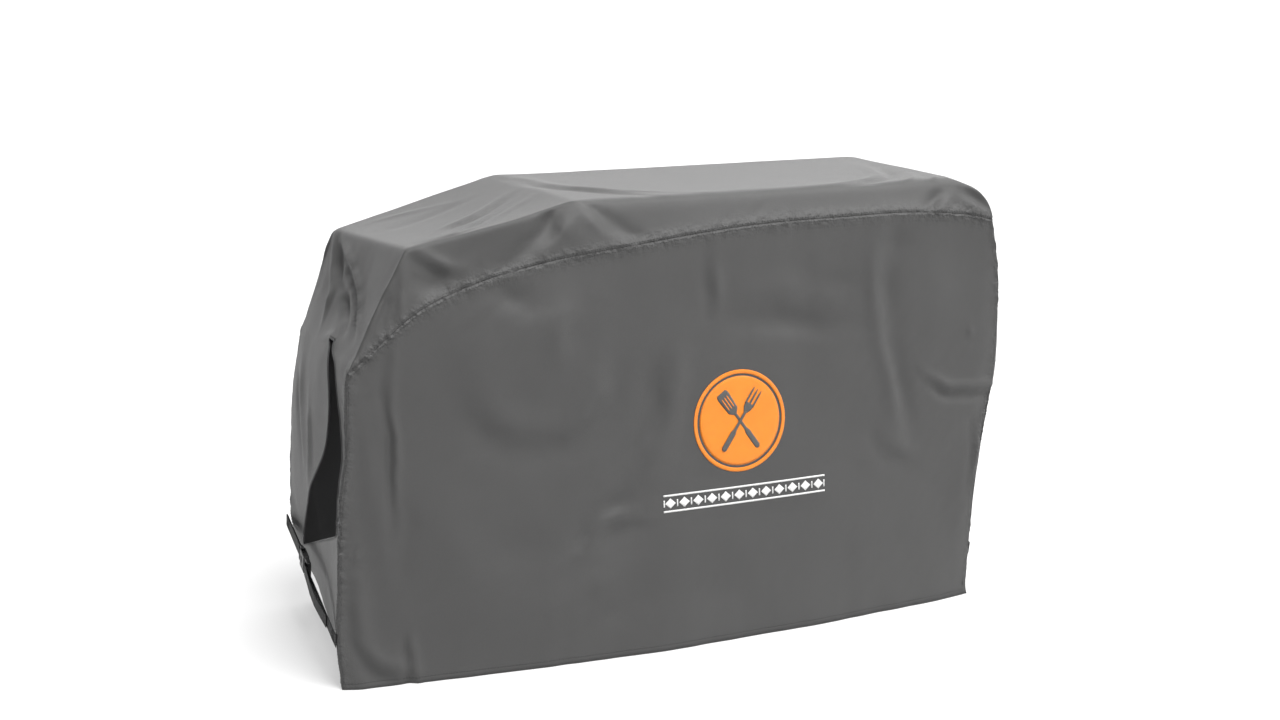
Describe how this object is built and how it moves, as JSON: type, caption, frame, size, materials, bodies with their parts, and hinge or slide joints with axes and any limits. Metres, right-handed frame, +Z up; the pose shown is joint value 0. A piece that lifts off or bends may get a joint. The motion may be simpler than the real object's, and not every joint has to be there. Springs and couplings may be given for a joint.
{
  "type": "grill cover",
  "caption": "Fitted cloth cover for an outdoor griddle: arched front and back panels, one strip over the top and sides, side vents, and cinch straps with side-release buckles",
  "frame": {"origin": "middle of the footprint, at the level of the hem", "axes": "+X runs along the width, from the shelf end to the hood end; the front faces -Y; +Z is up"},
  "size_m": [1.55, 0.6675, 0.9501],
  "materials": {
    "cloth_front": "woven polyester with a coated back, matt",
    "cloth_strip": "woven polyester with a coated back, matt",
    "binding": "folded binding tape",
    "thread_orange": "embroidery thread, soft sheen",
    "thread_grey": "embroidery thread",
    "thread_white": "embroidery thread",
    "webbing": "ribbed webbing",
    "buckle": "moulded acetal, satin"
  },
  "bodies": {
    "cover": {"front_panel": "cloth_front", "back_panel": "cloth_front", "left_side_panel": "cloth_strip", "top_panel": "cloth_strip", "right_side_panel": "cloth_strip", "front_seam_binding": "binding", "back_seam_binding": "binding", "left_vent_piping": "binding", "right_vent_piping": "binding", "badge_disc": "thread_orange", "badge_ring": "thread_orange", "badge_tool_left": "thread_grey", "badge_tool_right": "thread_grey", "trim_band": "thread_white", "left_buckle_socket": "buckle", "left_rear_webbing": "webbing", "left_front_webbing": "webbing", "right_buckle_socket": "buckle", "right_rear_webbing": "webbing", "right_front_webbing": "webbing"},
    "left_plug": {"left_buckle_plug": "buckle", "left_webbing_tail": "webbing"},
    "left_upper_prong": {"left_prong_upper": "buckle"},
    "left_lower_prong": {"left_prong_lower": "buckle"},
    "right_plug": {"right_buckle_plug": "buckle", "right_webbing_tail": "webbing"},
    "right_upper_prong": {"right_prong_upper": "buckle"},
    "right_lower_prong": {"right_prong_lower": "buckle"}
  },
  "joints": [
    {"name": "left_buckle_slide", "type": "slide", "parent": "cover", "child": "left_plug", "axis": [-0.0695, -0.9802, -0.1852], "range_m": [0, 0.028]},
    {"name": "left_upper_prong_flex", "type": "hinge", "parent": "left_plug", "child": "left_upper_prong", "pos_m": [-0.74731, 0.05766, 0.17461], "axis": [-0.9976, 0.0683, 0.0129], "range_deg": [0, 14.6], "stiffness_Nm_per_rad": 0.02},
    {"name": "left_lower_prong_flex", "type": "hinge", "parent": "left_plug", "child": "left_lower_prong", "pos_m": [-0.74731, 0.06249, 0.14907], "axis": [0.9976, -0.0683, -0.0129], "range_deg": [0, 14.6], "stiffness_Nm_per_rad": 0.02},
    {"name": "right_buckle_slide", "type": "slide", "parent": "cover", "child": "right_plug", "axis": [-0.0271, -0.9822, -0.1856], "range_m": [0, 0.028]},
    {"name": "right_upper_prong_flex", "type": "hinge", "parent": "right_plug", "child": "right_upper_prong", "pos_m": [0.71742, 0.05724, 0.17454], "axis": [-0.9996, 0.0266, 0.005], "range_deg": [0, 14.6], "stiffness_Nm_per_rad": 0.02},
    {"name": "right_lower_prong_flex", "type": "hinge", "parent": "right_plug", "child": "right_lower_prong", "pos_m": [0.71742, 0.06207, 0.14899], "axis": [0.9996, -0.0266, -0.005], "range_deg": [0, 14.6], "stiffness_Nm_per_rad": 0.02}
  ],
  "couplings": [
    {"joint": "left_upper_prong_flex", "follows": "left_buckle_slide", "rad_per_m": 9},
    {"joint": "left_lower_prong_flex", "follows": "left_buckle_slide", "rad_per_m": 9},
    {"joint": "right_upper_prong_flex", "follows": "right_buckle_slide", "rad_per_m": 9},
    {"joint": "right_lower_prong_flex", "follows": "right_buckle_slide", "rad_per_m": 9}
  ]
}
